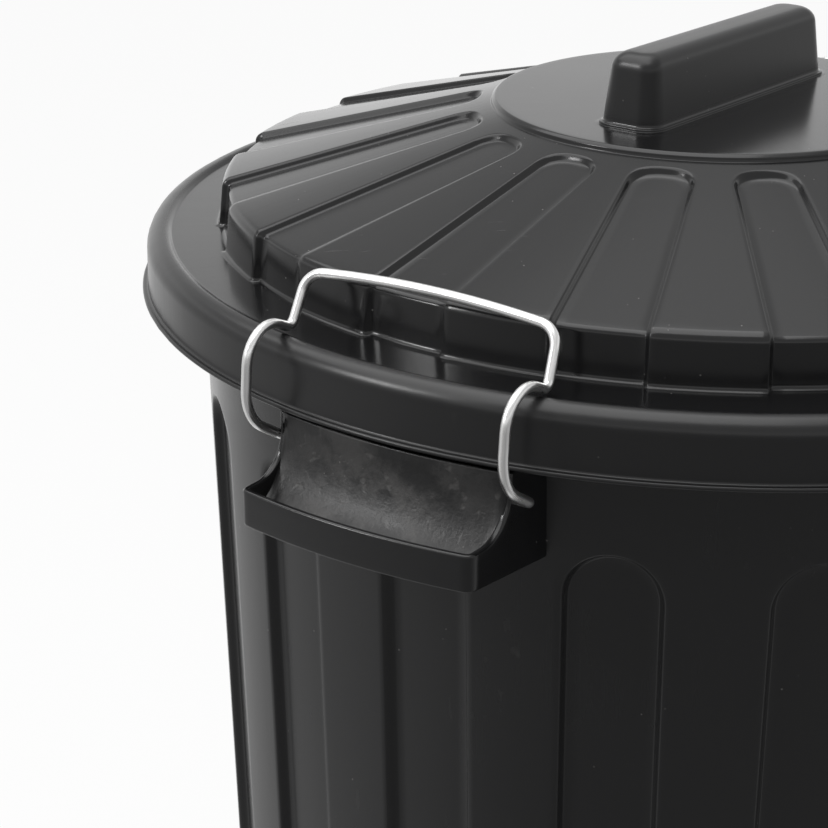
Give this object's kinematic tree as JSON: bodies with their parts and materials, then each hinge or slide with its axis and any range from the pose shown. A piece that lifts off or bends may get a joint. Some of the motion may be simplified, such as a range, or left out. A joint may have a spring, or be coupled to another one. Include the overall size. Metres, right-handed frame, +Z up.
{
  "type": "lidded storage bin",
  "caption": "Round black plastic bin with a fluted drafted tub, side grips, and a fluted lift-off lid with a block handle, held down by swinging wire clips.",
  "frame": {"origin": "on the floor under the middle of the tub, which is the bottom centre of the bounding box", "axes": "+Z up; the side grips and wire clips lie on the X axis, with the clip that the picture shows on -X; +Y is to the left of someone looking along +X"},
  "size_m": [0.564, 0.52, 0.6705],
  "materials": {
    "tub_plastic": "semi-gloss black polypropylene",
    "lid_plastic": "semi-gloss black polypropylene",
    "clip_wire": "drawn and zinc plated"
  },
  "bodies": {
    "tub": {"tub": "tub_plastic"},
    "lid": {"lid": "lid_plastic"},
    "left_clip": {"left_clip": "clip_wire"},
    "right_clip": {"right_clip": "clip_wire"}
  },
  "joints": [
    {"name": "lid_lift", "type": "slide", "parent": "tub", "child": "lid", "axis": [0, 0, 1], "range_m": [0, 0.45]},
    {"name": "left_clip_swing", "type": "hinge", "parent": "tub", "child": "left_clip", "pos_m": [-0.2445, 0, 0.5427], "axis": [0, -1, 0], "range_deg": [0, 172]},
    {"name": "right_clip_swing", "type": "hinge", "parent": "tub", "child": "right_clip", "pos_m": [0.2445, 0, 0.5427], "axis": [0, 1, 0], "range_deg": [0, 172]}
  ]
}
